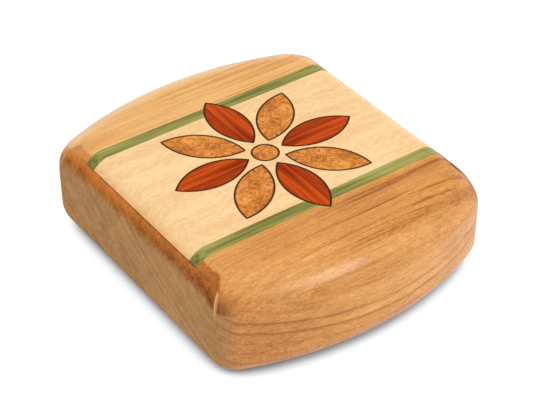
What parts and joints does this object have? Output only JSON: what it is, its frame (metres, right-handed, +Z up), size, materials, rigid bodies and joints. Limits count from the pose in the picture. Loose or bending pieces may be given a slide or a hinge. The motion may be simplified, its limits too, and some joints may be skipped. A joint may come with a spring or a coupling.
{
  "type": "wooden storage box",
  "caption": "Palm-size wooden box with bowed sides and rounded edges, an inlaid top band and a hidden drawer that slides out of one end.",
  "frame": {"origin": "middle of the underside, on the surface it rests on", "axes": "+X along the inlaid band, away from the drawer's front; +Y across the bowed sides; +Z up"},
  "size_m": [0.076, 0.0896, 0.0262],
  "materials": {
    "cherry": "satin oil, grain along the box",
    "cherry_end_grain": "satin oil, end grain",
    "maple": "satin oil, pale fine grain",
    "green_maple": "satin oil, dyed green",
    "burl": "satin oil, curled figure",
    "red_wood": "satin oil, red streaked grain",
    "felt": "dark wool felt"
  },
  "bodies": {
    "case": {"case_base": "cherry", "case_frame": "cherry", "case_top": "cherry", "band_field": "maple", "stripe_front": "green_maple", "stripe_back": "green_maple", "rosette_hub": "burl", "petal_red_right": "red_wood", "petal_red_back": "red_wood", "petal_red_left": "red_wood", "petal_red_front": "red_wood", "petal_burl_back_right": "burl", "petal_burl_back_left": "burl", "petal_burl_front_left": "burl", "petal_burl_front_right": "burl"},
    "drawer": {"drawer_front": "cherry_end_grain", "tray_floor_board": "cherry", "tray_side_front": "cherry", "tray_side_back": "cherry", "tray_inner_front": "cherry", "tray_inner_back": "cherry", "tray_felt": "felt"}
  },
  "joints": [
    {"name": "drawer_slide", "type": "slide", "parent": "case", "child": "drawer", "axis": [-1, 0, 0], "range_m": [0, 0.052]}
  ]
}
